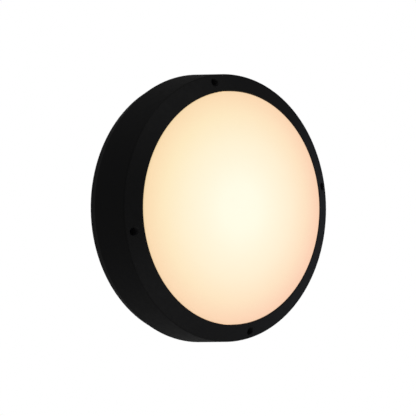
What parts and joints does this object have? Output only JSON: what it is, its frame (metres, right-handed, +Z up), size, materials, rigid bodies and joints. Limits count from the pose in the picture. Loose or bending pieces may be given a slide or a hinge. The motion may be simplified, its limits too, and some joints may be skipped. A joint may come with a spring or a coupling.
{
  "type": "round wall light",
  "caption": "Round outdoor wall light with a cast drum body, a sloped screwed rim and a lit opal diffuser.",
  "frame": {"origin": "centre of the face that stands against the wall", "axes": "+Z up, the front with the diffuser faces -Y, +Y goes into the wall"},
  "size_m": [0.3, 0.0778, 0.2998],
  "materials": {
    "body_coat": "black powder coat, fine texture",
    "black_steel": "blackened",
    "opal_plastic": "opal, lit from inside",
    "foam_seal": "closed-cell foam",
    "black_rubber": "matt",
    "silicone_seal": "translucent grey silicone",
    "zinc_steel": "zinc plated",
    "tray_white": "satin white",
    "thermal_pad": "soft filled silicone",
    "board_white": "white solder mask",
    "phosphor": "yellow gel",
    "white_plastic": "moulded",
    "brass": "turned",
    "wire_brown": "insulation",
    "wire_blue": "insulation",
    "wire_green": "insulation",
    "wire_red": "insulation",
    "wire_black": "insulation"
  },
  "bodies": {
    "root": {"base": "body_coat", "wall_seal": "foam_seal", "cable_grommet": "black_rubber", "fixing_seals": "black_rubber", "seam_seal": "black_rubber", "front_cover": "body_coat", "cover_screws": "black_steel", "screw_seals": "black_rubber", "diffuser": "opal_plastic", "diffuser_seal": "silicone_seal", "diffuser_retainer": "zinc_steel", "retainer_screws": "zinc_steel", "gear_tray": "tray_white", "tray_screws": "zinc_steel", "tray_bush": "black_rubber", "thermal_pad": "thermal_pad", "led_board": "board_white", "led_chips": "phosphor", "board_connector": "white_plastic", "board_screws": "zinc_steel", "led_driver": "white_plastic", "driver_screws": "zinc_steel", "terminal_block": "white_plastic", "terminal_inserts": "brass", "clamp_screws": "brass", "block_screws": "zinc_steel", "earth_tag": "zinc_steel", "earth_screw": "brass", "wire_live": "wire_brown", "wire_neutral": "wire_blue", "wire_earth": "wire_green", "wire_led_plus": "wire_red", "wire_led_minus": "wire_black"}
  },
  "joints": []
}
